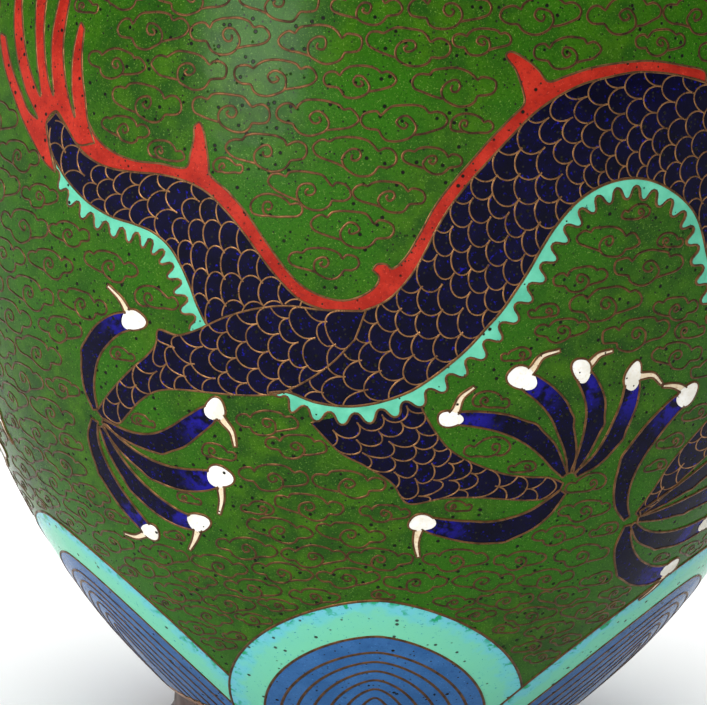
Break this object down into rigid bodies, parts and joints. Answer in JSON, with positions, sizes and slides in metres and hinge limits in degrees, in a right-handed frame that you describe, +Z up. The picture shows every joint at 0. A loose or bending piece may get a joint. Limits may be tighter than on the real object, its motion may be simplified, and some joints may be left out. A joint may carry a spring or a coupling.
{
  "type": "cloisonne vase",
  "caption": "Ovoid copper vase with a trumpet neck, covered in wired glass enamel with a dragon among clouds above a border of wave lappets.",
  "frame": {"origin": "centre of the foot's underside, on the surface that the vase stands on", "axes": "+Z up along the vase's axis, -Y towards the front, where one lappet is centred and the dragon's tail crosses"},
  "size_m": [0.147, 0.147, 0.3003],
  "materials": {
    "copper": "patinated copper, brown, satin",
    "gilt_copper": "polished copper wire, worn gilding",
    "green_enamel": "polished glass enamel, pitted",
    "turquoise_enamel": "polished glass enamel, pitted",
    "blue_enamel": "polished glass enamel, pitted",
    "navy_enamel": "polished glass enamel, pitted",
    "lining_enamel": "glossy unpolished enamel"
  },
  "bodies": {
    "root": {"foot_ring": "copper", "lower_body_wall": "copper", "upper_body_wall": "copper", "neck_wall": "copper", "mouth_rim": "gilt_copper", "foot_border_wire": "gilt_copper", "shoulder_border_wire": "gilt_copper", "neck_border_wire": "gilt_copper", "mouth_border_wire": "gilt_copper", "ground_enamel": "green_enamel", "neck_enamel": "green_enamel", "shoulder_band_enamel": "turquoise_enamel", "mouth_band_enamel": "turquoise_enamel", "lappet_border_1": "turquoise_enamel", "lappet_border_2": "turquoise_enamel", "lappet_border_3": "turquoise_enamel", "lappet_border_4": "turquoise_enamel", "lappet_border_5": "turquoise_enamel", "lappet_border_6": "turquoise_enamel", "lappet_water_1": "blue_enamel", "lappet_water_2": "blue_enamel", "lappet_water_3": "blue_enamel", "lappet_water_4": "blue_enamel", "lappet_water_5": "blue_enamel", "lappet_water_6": "blue_enamel", "dragon_body": "navy_enamel", "body_lining": "lining_enamel", "neck_lining": "lining_enamel", "base_enamel": "lining_enamel"}
  },
  "joints": []
}
